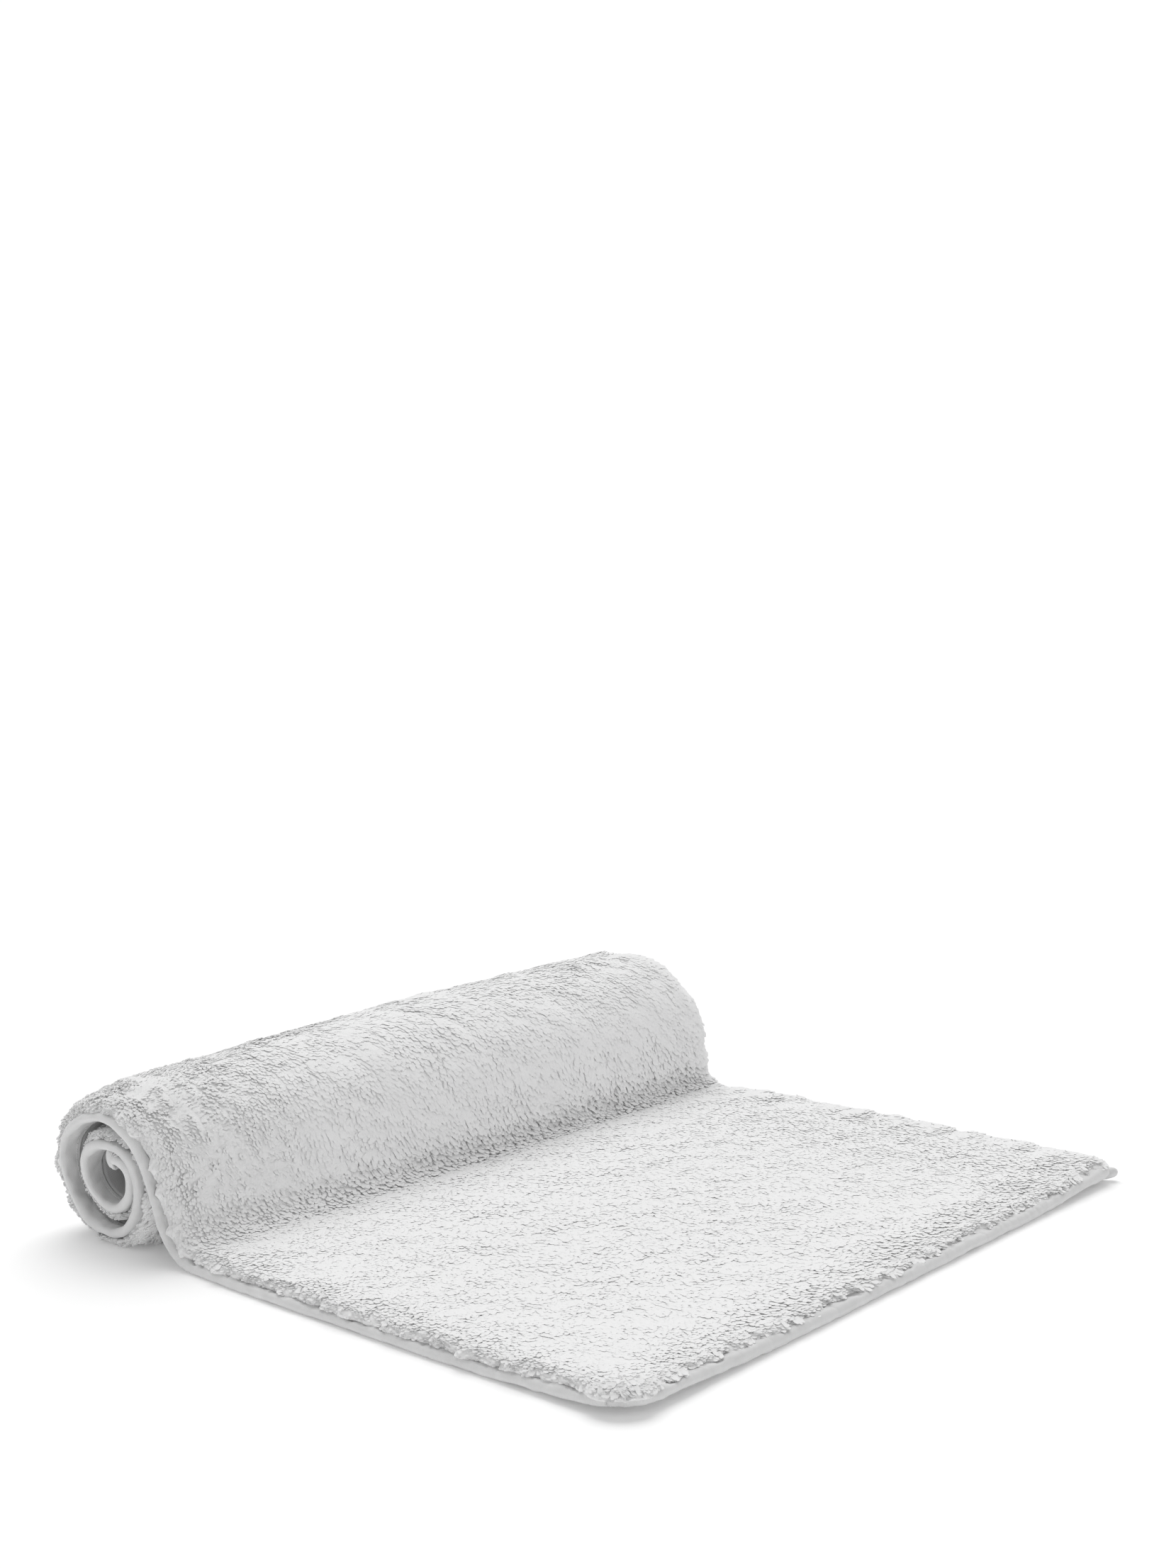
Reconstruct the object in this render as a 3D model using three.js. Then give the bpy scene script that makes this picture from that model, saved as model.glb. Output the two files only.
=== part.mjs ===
// A tufted bath mat lying on the floor with one end rolled up under itself, the pile outwards.
// Millimetres, +Z up. Y runs along the roll, +X points from the roll to the free end, and the
// origin is on the floor under the middle of the whole mat.
//
// Everything follows one line, the back of the cloth seen from its side edge: flat along the
// floor, up in a hollow bend, and round the turns of the roll. A height is measured from that
// line towards the pile, and a margin is measured in from an edge of the mat.
import * as THREE from "three";

// The mat as it is cut, before it is rolled.
const MAT_LENGTH = 900;
const MAT_WIDTH = 600;

// The layers, from the floor up.
const BACKING_THICKNESS = 1.2;
const GROUND_THICKNESS = 2.4;
const CLEARANCE = 0.3;

// The binding tape, folded round each edge and sewn down near its inner margin.
const TAPE_THICKNESS = 1.2;
const SIDE_TAPE_WIDTH = 14;
const END_TAPE_WIDTH = 17;
const SEAM_MARGIN = 3;
const THREAD_WIDTH = 0.8;
const THREAD_THICKNESS = 0.4;

// The pile stands taller where the roll bends it open than where it lies flat.
const FLAT_PILE_HEIGHT = 12;
const ROLL_PILE_HEIGHT = 20;
const PILE_GAP = 1;

// The lift off the floor and the outer turn of the roll, both measured on the back of the cloth.
const LIFT_RADIUS = 46;
const LIFT_ANGLE = THREE.MathUtils.degToRad(67);
const ROLL_WIDTH = 95;
const ROLL_HEIGHT = 76;
const PILE_UNDER_ROLL = 9;

// The room left for pile on each side of the second turn, and then of the third.
const TURN_ROOMS = [
  { left: 22, right: 10, bottom: 15, top: 14 },
  { left: 14, right: 4.5, bottom: 9, top: 5 },
];

// Where each side of a turn bulges most, as a share of that turn's width or height.
const BULGE = { top: 0.48, left: 0.56, bottom: 0.52, right: 0.4 };

// The curves are made of straight steps of at most this much turning.
const STEP_ANGLE = THREE.MathUtils.degToRad(15);

// Two places, or two angles, closer than this are the same.
const NEGLIGIBLE = 1e-3;

// Heights above the back of the cloth.
const GROUND_BOTTOM = BACKING_THICKNESS + CLEARANCE;
const GROUND_TOP = GROUND_BOTTOM + GROUND_THICKNESS;
const PILE_BOTTOM = GROUND_TOP + CLEARANCE;
const EDGE_THICKNESS = PILE_BOTTOM + TAPE_THICKNESS;

// Margins from the edges of the mat.
const GROUND_MARGIN = TAPE_THICKNESS + CLEARANCE;
const FIELD_SIDE_MARGIN = SIDE_TAPE_WIDTH + CLEARANCE;
const FIELD_END_MARGIN = END_TAPE_WIDTH + CLEARANCE;

const FABRIC = {
  pile: new THREE.MeshStandardMaterial({ color: 0xf4f3f1, roughness: 0.96, metalness: 0 }),
  ground: new THREE.MeshStandardMaterial({ color: 0xe6e4de, roughness: 0.92, metalness: 0 }),
  backing: new THREE.MeshStandardMaterial({ color: 0xe9e8e4, roughness: 0.88, metalness: 0 }),
  tape: new THREE.MeshStandardMaterial({ color: 0xefeeeb, roughness: 0.9, metalness: 0 }),
  thread: new THREE.MeshStandardMaterial({ color: 0xf8f8f6, roughness: 0.7, metalness: 0 }),
};

// One place along the cloth, with the way the cloth heads there on its way into the roll.
class Station {
  constructor(x, z, heading) {
    this.place = new THREE.Vector2(x, z);
    this.ahead = new THREE.Vector2(Math.cos(heading), Math.sin(heading));
    this.pileSide = new THREE.Vector2(this.ahead.y, -this.ahead.x);
    this.heading = heading;
    this.run = 0;
  }

  at(height, forward = 0) {
    return this.place.clone().addScaledVector(this.pileSide, height).addScaledVector(this.ahead, forward);
  }

  moved(forward) {
    const { x, y } = this.at(0, forward);
    const station = new Station(x, y, this.heading);
    station.run = this.run + forward;
    return station;
  }
}

// The four places where a turn of the roll bulges most, in the order the cloth reaches them.
function bulges({ left, right, bottom, top }) {
  const across = (share) => left + share * (right - left);
  const up = (share) => bottom + share * (top - bottom);
  return [
    new THREE.Vector2(right, up(BULGE.right)),
    new THREE.Vector2(across(BULGE.top), top),
    new THREE.Vector2(left, up(BULGE.left)),
    new THREE.Vector2(across(BULGE.bottom), bottom),
  ];
}

// Stations at even steps of turning, where place(heading) gives the point of the curve.
function bend(place, startHeading, endHeading) {
  const turning = Math.abs(endHeading - startHeading);
  const steps = Math.ceil(turning / STEP_ANGLE - NEGLIGIBLE);
  return Array.from({ length: steps + 1 }, (_, step) => {
    const heading = THREE.MathUtils.lerp(startHeading, endHeading, step / steps);
    const { x, y } = place(heading);
    return new Station(x, y, heading);
  });
}

// The point of an upright ellipse where the cloth, turning left, has the given heading.
function onEllipse(centre, halfWidth, halfHeight, heading) {
  const angle = Math.atan2(-Math.cos(heading) / halfWidth, Math.sin(heading) / halfHeight);
  return new THREE.Vector2(halfWidth * Math.cos(angle), halfHeight * Math.sin(angle)).add(centre);
}

// The turns of the roll: quarter ellipses from each bulge to the next, right, top, left, bottom.
function rollStations() {
  const bottom = PILE_BOTTOM + PILE_UNDER_ROLL;
  const turns = [{ left: -ROLL_WIDTH, right: 0, bottom, top: bottom + ROLL_HEIGHT }];
  for (const room of TURN_ROOMS) {
    const outside = turns.at(-1);
    turns.push({
      left: outside.left + PILE_BOTTOM + room.left,
      right: outside.right - PILE_BOTTOM - room.right,
      bottom: outside.bottom + PILE_BOTTOM + room.bottom,
      top: outside.top - PILE_BOTTOM - room.top,
    });
  }
  const lastTop = 4 * TURN_ROOMS.length + 1;
  const corners = turns.flatMap(bulges).slice(0, lastTop + 1);
  return corners.slice(1).flatMap((corner, index) => {
    const previous = corners[index];
    const towardsTopOrBottom = index % 2 === 0;
    const centre = towardsTopOrBottom
      ? new THREE.Vector2(corner.x, previous.y)
      : new THREE.Vector2(previous.x, corner.y);
    const halfWidth = Math.abs(corner.x - previous.x);
    const halfHeight = Math.abs(corner.y - previous.y);
    const endHeading = Math.PI + (index * Math.PI) / 2;
    const startHeading = index === 0 ? Math.PI - LIFT_ANGLE : endHeading - Math.PI / 2;
    const place = (heading) => onEllipse(centre, halfWidth, halfHeight, heading);
    const stations = bend(place, startHeading, endHeading);
    return index === 0 ? stations : stations.slice(1);
  });
}

// The whole length of the cloth, from the free end to the end inside the roll.
function clothStations() {
  const roll = rollStations();
  const climbEnd = roll[0];
  const liftRise = LIFT_RADIUS * (1 - Math.cos(LIFT_ANGLE));
  const climb = (climbEnd.place.y - liftRise) / Math.sin(LIFT_ANGLE);
  const hollow = climbEnd.moved(-climb).at(LIFT_RADIUS);
  const onHollow = (heading) =>
    new THREE.Vector2(-Math.sin(heading), Math.cos(heading)).multiplyScalar(LIFT_RADIUS).add(hollow);
  const lift = bend(onHollow, Math.PI, Math.PI - LIFT_ANGLE);
  const rolled = [...lift, ...roll, roll.at(-1).moved(FIELD_END_MARGIN)];

  let rolledLength = 0;
  for (let i = 1; i < rolled.length; i += 1) {
    rolledLength += rolled[i].place.distanceTo(rolled[i - 1].place);
  }
  const stations = [rolled[0].moved(rolledLength - MAT_LENGTH), ...rolled];
  stations[0].run = 0;
  for (let i = 1; i < stations.length; i += 1) {
    stations[i].run = stations[i - 1].run + stations[i].place.distanceTo(stations[i - 1].place);
  }
  return stations;
}

const CLOTH = clothStations();

// The stretch of the cloth that keeps this far from both of its ends.
function stretch(margin) {
  const first = CLOTH[0].moved(margin);
  const last = CLOTH.at(-1).moved(-margin);
  const inside = CLOTH.filter(({ run }) => run > first.run && run < last.run - NEGLIGIBLE);
  return [first, ...inside, last];
}

// How far it is from a station, out through the pile, to the back of the turn outside it.
function roomOutside(station) {
  let room = Infinity;
  for (let i = 1; i < CLOTH.length && CLOTH[i].run < station.run - ROLL_HEIGHT; i += 1) {
    const start = CLOTH[i - 1].place.clone().sub(station.place);
    const along = CLOTH[i].place.clone().sub(CLOTH[i - 1].place);
    const across = station.pileSide.cross(along);
    const distance = start.cross(along) / across;
    const share = start.cross(station.pileSide) / across;
    if (distance > 0 && share >= 0 && share <= 1) room = Math.min(room, distance);
  }
  return room;
}

// The top of the pile: it opens out as the cloth lifts, and the floor and the turns press it.
function pileTop(station) {
  const pastLiftStart = station.run - CLOTH[1].run;
  const opened = THREE.MathUtils.clamp(pastLiftStart / (LIFT_RADIUS * LIFT_ANGLE), 0, 1);
  const pileHeight = THREE.MathUtils.lerp(FLAT_PILE_HEIGHT, ROLL_PILE_HEIGHT, opened);
  const toFloor = station.pileSide.y < 0 ? station.place.y / -station.pileSide.y : Infinity;
  return Math.min(PILE_BOTTOM + pileHeight, toFloor, roomOutside(station) - PILE_GAP);
}

// A layer of the cloth, between two heights, as wide as the mat less a margin at each side.
function layer(endMargin, sideMargin, low, high) {
  const stations = stretch(endMargin);
  const upper = stations.map((station) => station.at(high(station)));
  const lower = stations.map((station) => station.at(low));
  const outline = new THREE.Shape([...upper, ...lower.reverse()]);
  const width = MAT_WIDTH - 2 * sideMargin;
  const geometry = new THREE.ExtrudeGeometry(outline, { depth: width, bevelEnabled: false });
  return geometry.rotateX(Math.PI / 2).translate(0, width / 2, 0);
}

// The folded tape in section: x is the margin from the edge of the mat, y the height. A seam
// groove lies in each face, near the tape's inner margin.
function tapeSection(width) {
  const seam = width - SEAM_MARGIN;
  const groove = THREAD_WIDTH / 2 + CLEARANCE;
  const depth = THREAD_THICKNESS + CLEARANCE;
  const back = [
    [0, 0],
    [seam - groove, 0],
    [seam - groove, depth],
    [seam + groove, depth],
    [seam + groove, 0],
    [width, 0],
    [width, TAPE_THICKNESS],
    [TAPE_THICKNESS, TAPE_THICKNESS],
  ];
  const face = back.map(([margin, height]) => [margin, EDGE_THICKNESS - height]).reverse();
  return [...back, ...face];
}

// A sewing thread in section, flush with the face of the tape when its low height is chosen so.
function threadSection(width, low) {
  const outer = width - SEAM_MARGIN - THREAD_WIDTH / 2;
  const inner = outer + THREAD_WIDTH;
  return [
    [outer, low],
    [inner, low],
    [inner, low + THREAD_THICKNESS],
    [outer, low + THREAD_THICKNESS],
  ];
}

// A run of the cloth as a curve at one side edge, one step for each station.
class EdgeCurve extends THREE.Curve {
  constructor(stations, y) {
    super();
    this.stations = stations;
    this.y = y;
  }

  stationAt(share) {
    return this.stations[Math.round(share * (this.stations.length - 1))];
  }

  getPointAt(share) {
    const { x, y } = this.stationAt(share).place;
    return new THREE.Vector3(x, this.y, y);
  }

  // A section's x points to the pile side all the way, and its y to +Y.
  computeFrenetFrames() {
    const upright = ({ x, y }) => new THREE.Vector3(x, 0, y);
    const tangents = this.stations.map(({ ahead }) => upright(ahead));
    const normals = this.stations.map(({ pileSide }) => upright(pileSide));
    const binormals = tangents.map((tangent, i) => tangent.clone().cross(normals[i]));
    return { tangents, normals, binormals };
  }
}

// A section carried along a side edge: side is -1 for the near side and 1 for the far side.
function alongSide(section, side) {
  const stations = stretch(FIELD_END_MARGIN);
  const outline = section.map(([margin, height]) => new THREE.Vector2(height, -side * margin));
  const extrudePath = new EdgeCurve(stations, (side * MAT_WIDTH) / 2);
  return new THREE.ExtrudeGeometry(new THREE.Shape(outline), { steps: stations.length - 1, extrudePath });
}

// A section carried straight across an end of the mat. Forward is 1 at the free end, where the
// cloth starts, and -1 at the rolled end.
function acrossEnd(section, forward) {
  const end = forward > 0 ? CLOTH[0] : CLOTH.at(-1);
  const outline = section.map(([margin, height]) => end.at(height, forward * margin));
  const extent = { depth: MAT_WIDTH, bevelEnabled: false };
  const geometry = new THREE.ExtrudeGeometry(new THREE.Shape(outline), extent);
  return geometry.rotateX(Math.PI / 2).translate(0, MAT_WIDTH / 2, 0);
}

const group = new THREE.Group();

function add(name, geometry, material) {
  const mesh = new THREE.Mesh(geometry, material.clone());
  mesh.name = name;
  group.add(mesh);
}

// The canvas that the tufts go through, the coat on its back, and the pile as one soft solid.
add("ground_cloth", layer(GROUND_MARGIN, GROUND_MARGIN, GROUND_BOTTOM, () => GROUND_TOP), FABRIC.ground);
add("backing", layer(FIELD_END_MARGIN, FIELD_SIDE_MARGIN, 0, () => BACKING_THICKNESS), FABRIC.backing);
add("pile", layer(FIELD_END_MARGIN, FIELD_SIDE_MARGIN, PILE_BOTTOM, pileTop), FABRIC.pile);

// Each edge has its tape and the two threads of its seam.
const EDGES = [
  { name: "near_side", width: SIDE_TAPE_WIDTH, carry: (section) => alongSide(section, -1) },
  { name: "far_side", width: SIDE_TAPE_WIDTH, carry: (section) => alongSide(section, 1) },
  { name: "free_end", width: END_TAPE_WIDTH, carry: (section) => acrossEnd(section, 1) },
  { name: "rolled_end", width: END_TAPE_WIDTH, carry: (section) => acrossEnd(section, -1) },
];
for (const { name, width, carry } of EDGES) {
  add(`binding_${name}`, carry(tapeSection(width)), FABRIC.tape);
  const faceThread = threadSection(width, EDGE_THICKNESS - THREAD_THICKNESS);
  add(`needle_thread_${name}`, carry(faceThread), FABRIC.thread);
  add(`bobbin_thread_${name}`, carry(threadSection(width, 0)), FABRIC.thread);
}

// The mat is moved so that the origin is under the middle of its box.
const box = new THREE.Box3().setFromObject(group);
group.position.x = -(box.min.x + box.max.x) / 2;

export default group;
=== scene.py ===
import math

import bpy
import numpy as np
from mathutils import Matrix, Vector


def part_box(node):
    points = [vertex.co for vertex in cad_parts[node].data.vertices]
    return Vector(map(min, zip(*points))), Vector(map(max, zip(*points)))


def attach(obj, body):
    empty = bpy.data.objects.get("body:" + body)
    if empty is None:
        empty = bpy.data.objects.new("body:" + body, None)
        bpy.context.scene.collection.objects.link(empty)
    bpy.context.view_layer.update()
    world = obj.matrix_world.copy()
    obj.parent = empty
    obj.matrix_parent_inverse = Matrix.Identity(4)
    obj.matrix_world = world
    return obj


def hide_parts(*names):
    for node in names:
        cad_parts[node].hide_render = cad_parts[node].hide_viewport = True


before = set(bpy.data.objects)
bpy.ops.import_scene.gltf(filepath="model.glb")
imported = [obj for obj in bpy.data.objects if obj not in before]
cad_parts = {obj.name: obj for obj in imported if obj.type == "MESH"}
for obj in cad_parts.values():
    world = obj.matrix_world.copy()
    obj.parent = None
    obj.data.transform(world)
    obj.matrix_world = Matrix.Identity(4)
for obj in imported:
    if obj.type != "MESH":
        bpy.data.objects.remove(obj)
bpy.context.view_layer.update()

# A tufted bath mat lying on the floor with one end rolled up under itself, the pile outwards.
# Lengths are in millimetres until a mesh is made. A place on the cloth is its run from the free
# end, its place across the width and its height above the back of the cloth, towards the pile.
MM = 0.001

# The cloth, its layers and its roll, the same values as in the CAD part.
BACKING_THICKNESS = 1.2
GROUND_THICKNESS = 2.4
CLEARANCE = 0.3
TAPE_THICKNESS = 1.2
SIDE_TAPE_WIDTH = 14
END_TAPE_WIDTH = 17
SEAM_MARGIN = 3
FLAT_PILE_HEIGHT = 12
ROLL_PILE_HEIGHT = 20
PILE_GAP = 1
LIFT_RADIUS = 46
LIFT_ANGLE = math.radians(67)
ROLL_WIDTH = 95
ROLL_HEIGHT = 76
PILE_UNDER_ROLL = 9
TURN_ROOMS = (
    {"left": 22, "right": 10, "bottom": 15, "top": 14},
    {"left": 14, "right": 4.5, "bottom": 9, "top": 5},
)
BULGE = {"top": 0.48, "left": 0.56, "bottom": 0.52, "right": 0.4}

GROUND_BOTTOM = BACKING_THICKNESS + CLEARANCE
GROUND_TOP = GROUND_BOTTOM + GROUND_THICKNESS
PILE_BOTTOM = GROUND_TOP + CLEARANCE
EDGE_THICKNESS = PILE_BOTTOM + TAPE_THICKNESS
HALF_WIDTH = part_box("binding_free_end")[1].y / MM
FREE_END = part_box("binding_free_end")[1].x / MM
ROLL_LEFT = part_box("backing")[0].x / MM + BACKING_THICKNESS
ROLL_RIGHT = ROLL_LEFT + ROLL_WIDTH
FIELD_EDGE = HALF_WIDTH - SIDE_TAPE_WIDTH - CLEARANCE

# How the cloth settles: the roll is looser at its far end, and one free corner curls.
FAR_WIDER = 0.2
FAR_TALLER = 0.07
FAR_EDGE_RISE = 4.5
NEAR_CORNER_RADIUS = 30
CORNER_RADIUS = 15
CURL_RISE = 6.5
CURL_RUN = 130
CURL_ACROSS = 230
NEAR_EDGE_BOW = 2.5

# The yarns of the pile, as the ends that show.
YARN_SPACING = 2.75
NEAR_YARN_SPACING = 2.25
NEAR_YARNS_TO = -170
YARN_RADIUS = 1.45
YARN_LENGTH = 6.4
YARN_SIDES = 5
YARNS_PER_PIECE = 5600
INNER_YARN_DEPTH = 38
TAPE_TOP = 6.9

# Random values over the cloth repeat after this many steps along and across it. The shifts keep
# the steps above zero.
REPEAT_ALONG, REPEAT_ACROSS = 97, 89
SHIFT_ALONG, SHIFT_ACROSS = 31, 613

# Points of a quarter turn, of the flat part and of the tape at the end inside the roll.
ARC_POINTS = 60
FLAT_POINTS = 200
LAST_POINTS = 10
NEGLIGIBLE = 1e-6
TINY = 1e-9


def smooth(low, high, value):
    """0 below low, 1 above high and a soft step between."""
    share = np.clip((value - low) / (high - low), 0, 1)
    return share * share * (3 - 2 * share)


class Drift:
    """Random variation over the cloth, from -1 to 1, in soft bumps of the given sizes."""

    def __init__(self, seed, along, across=None):
        self.steps = (along, across or along)
        self.grid = np.random.default_rng(seed).uniform(-1, 1, (REPEAT_ALONG, REPEAT_ACROSS))

    def __call__(self, run, across):
        rows, columns = run / self.steps[0] + SHIFT_ALONG, across / self.steps[1] + SHIFT_ACROSS
        i, j = np.floor(rows).astype(int), np.floor(columns).astype(int)
        u, v = smooth(0, 1, rows - i), smooth(0, 1, columns - j)
        near, far = (
            self.grid[(i + k) % REPEAT_ALONG, j % REPEAT_ACROSS] * (1 - v)
            + self.grid[(i + k) % REPEAT_ALONG, (j + 1) % REPEAT_ACROSS] * v
            for k in (0, 1)
        )
        return near * (1 - u) + far * u


# ---- The line that the back of the cloth follows, seen from its side edge ----

def bulges(turn):
    """Where a turn of the roll bulges most to the right, top, left and bottom."""
    wide, tall = turn["right"] - turn["left"], turn["top"] - turn["bottom"]
    return [
        (turn["right"], turn["bottom"] + BULGE["right"] * tall),
        (turn["left"] + BULGE["top"] * wide, turn["top"]),
        (turn["left"], turn["bottom"] + BULGE["left"] * tall),
        (turn["left"] + BULGE["bottom"] * wide, turn["bottom"]),
    ]


def quarter(start, end, upright, headings):
    """Points of the quarter ellipse from start to end, which begins upright or level."""
    centre = (end[0], start[1]) if upright else (start[0], end[1])
    half_width, half_height = abs(start[0] - end[0]), abs(start[1] - end[1])
    angle = np.arctan2(-np.cos(headings) / half_width, np.sin(headings) / half_height)
    return centre[0] + half_width * np.cos(angle), centre[1] + half_height * np.sin(angle)


def cloth_line():
    """Run, x, z and heading along the cloth, from the free end to the end inside the roll."""
    floor = PILE_BOTTOM + PILE_UNDER_ROLL
    turns = [{"left": ROLL_LEFT, "right": ROLL_RIGHT, "bottom": floor, "top": floor + ROLL_HEIGHT}]
    for room in TURN_ROOMS:
        outside = turns[-1]
        sign = {"left": 1, "right": -1, "bottom": 1, "top": -1}
        turns.append({side: outside[side] + sign[side] * (PILE_BOTTOM + room[side]) for side in sign})
    corners = [corner for turn in turns for corner in bulges(turn)][: 4 * len(TURN_ROOMS) + 2]

    lines = []
    for index, (start, end) in enumerate(zip(corners, corners[1:])):
        last = math.pi * (1 + index / 2)
        first = math.pi - LIFT_ANGLE if index == 0 else last - math.pi / 2
        headings = np.linspace(first, last, ARC_POINTS)
        lines.append((*quarter(start, end, index % 2 == 0, headings), headings))

    climb_x, climb_z = lines[0][0][0], lines[0][1][0]
    rise = LIFT_RADIUS * (1 - math.cos(LIFT_ANGLE))
    lift_x = climb_x + (climb_z - rise) / math.tan(LIFT_ANGLE)
    headings = np.linspace(math.pi, math.pi - LIFT_ANGLE, ARC_POINTS)
    centre_x = lift_x + LIFT_RADIUS * math.sin(LIFT_ANGLE)
    lift = (
        centre_x - LIFT_RADIUS * np.sin(headings),
        LIFT_RADIUS * (1 + np.cos(headings)),
        headings,
    )
    flat_x = np.linspace(FREE_END, centre_x, FLAT_POINTS)
    flat = (flat_x, np.zeros(FLAT_POINTS), np.full(FLAT_POINTS, math.pi))
    end_x, end_z, end_heading = (values[-1] for values in lines[-1])
    tail = np.linspace(0, END_TAPE_WIDTH + CLEARANCE, LAST_POINTS)
    lines.append((end_x - tail, np.full(LAST_POINTS, end_z), np.full(LAST_POINTS, end_heading)))
    x, z, heading = (np.concatenate(parts) for parts in zip(flat, lift, *lines))
    run = np.concatenate([[0], np.cumsum(np.hypot(np.diff(x), np.diff(z)))])
    kept = np.concatenate([[True], np.diff(run) > NEGLIGIBLE])
    return run[kept], x[kept], z[kept], heading[kept]


RUN, LINE_X, LINE_Z, HEADING = cloth_line()
LENGTH = RUN[-1]
LIFT_START = RUN[np.argmax(HEADING < math.pi - NEGLIGIBLE)]
LIFT_END = LIFT_START + LIFT_RADIUS * LIFT_ANGLE
CLIMB_END = np.interp(math.pi, HEADING[RUN > LIFT_END], RUN[RUN > LIFT_END])


def room_outside():
    """How far each place of the line is, out through the pile, from the turn outside it."""
    side_x, side_z = np.sin(HEADING), -np.cos(HEADING)
    along_x, along_z = np.diff(LINE_X), np.diff(LINE_Z)
    room = np.full(len(RUN), np.inf)
    for i in np.flatnonzero(RUN > LIFT_END):
        before = RUN[1:] < RUN[i] - ROLL_HEIGHT
        start_x, start_z = LINE_X[:-1] - LINE_X[i], LINE_Z[:-1] - LINE_Z[i]
        across = side_x[i] * along_z - side_z[i] * along_x
        across = np.where(np.abs(across) < TINY, TINY, across)
        distance = (start_x * along_z - start_z * along_x) / across
        share = (start_x * side_z[i] - start_z * side_x[i]) / across
        met = before & (distance > 0) & (share >= 0) & (share <= 1)
        if met.any():
            room[i] = distance[met].min()
    return room


def pile_tops():
    """The pile's height along the line: open on the roll, pressed by the floor and the turns."""
    opened = np.clip((RUN - LIFT_START) / (LIFT_END - LIFT_START), 0, 1)
    height = PILE_BOTTOM + FLAT_PILE_HEIGHT + (ROLL_PILE_HEIGHT - FLAT_PILE_HEIGHT) * opened
    down = np.cos(HEADING)
    to_floor = np.where(down > 0.05, LINE_Z / np.maximum(down, 0.05), np.inf)
    return np.minimum(np.minimum(height, to_floor), room_outside() - PILE_GAP)


PILE_TOP = pile_tops()


def frame_at(run):
    """The cloth's way ahead and its pile side at a run, as unit vectors."""
    heading = np.interp(run, RUN, HEADING)
    zero = np.zeros_like(heading)
    ahead = np.stack([np.cos(heading), zero, np.sin(heading)], -1)
    pile_side = np.stack([np.sin(heading), zero, -np.cos(heading)], -1)
    return ahead, pile_side


def round_corners(run, across):
    """Draws the mat's square corners in to round ones, the near free one the most."""
    from_end = np.minimum(run, LENGTH - run)
    from_side = HALF_WIDTH - np.abs(across)
    near_free = (run < LENGTH / 2) & (across < 0)
    radius = np.where(near_free, NEAR_CORNER_RADIUS, CORNER_RADIUS)
    a, b = (np.clip(1 - margin / radius, 0, 1) for margin in (from_end, from_side))
    pull = 1 - np.maximum(a, b) / np.maximum(np.hypot(a, b), TINY)
    pull = np.where((a > 0) & (b > 0), pull, 0) * radius
    at_start = np.where(run < LENGTH / 2, 1, -1)
    return run + at_start * pull * a, across - np.sign(across) * pull * b


def settle(points, run, across):
    """Moves points of the ideal cloth to where the real one lies, at the run and across given."""
    x, y, z = points[..., 0], points[..., 1], points[..., 2]
    far = smooth(-HALF_WIDTH, 0.2 * HALF_WIDTH, across)
    loose = far * smooth(LIFT_START - 30, LIFT_END + 30, run)
    middle = ROLL_RIGHT - 0.5 * ROLL_WIDTH
    x = middle + (x - middle) * (1 + FAR_WIDER * loose)
    z = z * (1 + FAR_TALLER * loose)
    near_corner = np.clip(1 - run / CURL_RUN, 0, 1) ** 2
    near_corner = near_corner * np.clip(1 - (across + HALF_WIDTH) / CURL_ACROSS, 0, 1) ** 2
    far_edge = smooth(0.55 * HALF_WIDTH, HALF_WIDTH, across) * smooth(LIFT_START, LIFT_START - 60, run)
    lifted = z + CURL_RISE * near_corner + FAR_EDGE_RISE * far_edge
    bowed = smooth(40, 160, run) * smooth(LIFT_START + 20, LIFT_START - 80, run)
    y = y - NEAR_EDGE_BOW * bowed * smooth(-100, -HALF_WIDTH, across)
    return np.stack([x, y, np.maximum(lifted, 0)], -1)


def place(run, across, height):
    """Points of the cloth, as it has settled."""
    run, across, height = np.broadcast_arrays(run, across, height)
    run, across = round_corners(run, across)
    inside = np.clip(run, 0, LENGTH)
    ahead, pile_side = frame_at(inside)
    line = np.stack([np.interp(inside, RUN, LINE_X), across, np.interp(inside, RUN, LINE_Z)], -1)
    points = line + ahead * (run - inside)[..., None] + pile_side * height[..., None]
    return settle(points, inside, across)


# ---- Meshes ----

def make_mesh(name, points, faces, slot, material, nodes=(), **attributes):
    """A piece of the mat from points in mm and faces of one size, riding on the one body."""
    mesh = bpy.data.meshes.new(name)
    faces = np.asarray(faces, np.int32)
    mesh.vertices.add(len(points))
    mesh.vertices.foreach_set("co", (np.asarray(points) * MM).astype(np.float32).ravel())
    mesh.loops.add(faces.size)
    mesh.loops.foreach_set("vertex_index", faces.ravel())
    mesh.polygons.add(len(faces))
    mesh.polygons.foreach_set("loop_start", np.arange(0, faces.size, faces.shape[1], dtype=np.int32))
    mesh.polygons.foreach_set("use_smooth", np.full(len(faces), True))
    mesh.update(calc_edges=True)
    for attribute, values in attributes.items():
        layer = mesh.attributes.new(attribute, "FLOAT", "POINT")
        layer.data.foreach_set("value", np.asarray(values, np.float32).ravel())
    piece = bpy.data.objects.new(name, mesh)
    bpy.context.scene.collection.objects.link(piece)
    mesh.materials.append(material)
    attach(piece, "root")
    if nodes:
        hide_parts(*nodes)
    return piece


def grid_faces(rows, columns, wrap=False):
    """Quads over a grid of points, row by row. With wrap, each row closes on itself."""
    i = np.arange(rows - 1)[:, None] * columns
    j = np.arange(columns if wrap else columns - 1)[None, :]
    k = (j + 1) % columns
    return np.stack([i + j, i + k, i + columns + k, i + columns + j], -1).reshape(-1, 4)


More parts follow.
